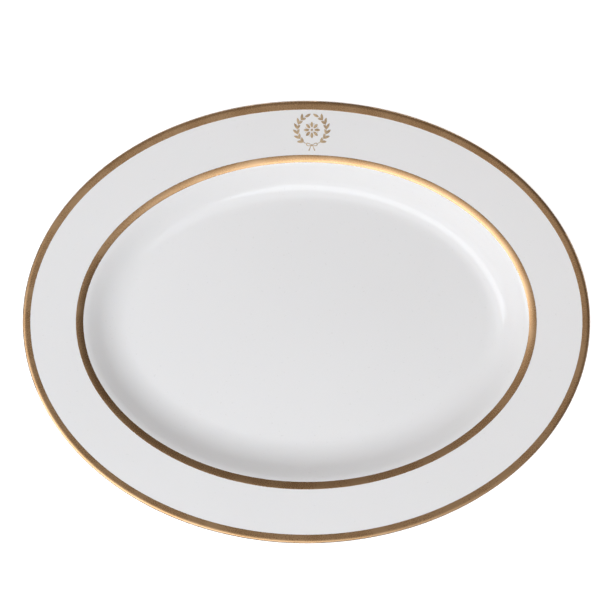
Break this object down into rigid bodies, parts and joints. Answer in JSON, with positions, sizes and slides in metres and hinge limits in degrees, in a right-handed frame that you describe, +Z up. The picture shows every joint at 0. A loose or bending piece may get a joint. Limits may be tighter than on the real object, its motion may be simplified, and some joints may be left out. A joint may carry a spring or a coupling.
{
  "type": "oval serving platter",
  "caption": "Shallow oval serving platter of glazed china with a broad flat rim, gold bands at the lip and the edge of the well, a small gold wreath on the rim and a foot ring.",
  "frame": {"origin": "on the table, under the middle of the foot ring's bearing plane", "axes": "+X along the platter's long axis, +Y across it towards the wreath on the rim, +Z up out of the well"},
  "size_m": [0.36, 0.281, 0.0253],
  "materials": {
    "biscuit": "matte",
    "glaze": "gloss",
    "band_gold": "satin",
    "print_gold": "satin"
  },
  "bodies": {
    "root": {"china_body": "biscuit", "face_glaze": "glaze", "base_glaze": "glaze", "rim_gold_band": "band_gold", "verge_gold_band": "band_gold", "wreath_right_branch": "print_gold", "wreath_left_branch": "print_gold", "wreath_flower": "print_gold", "wreath_bow": "print_gold", "base_rosette": "print_gold"}
  },
  "joints": []
}
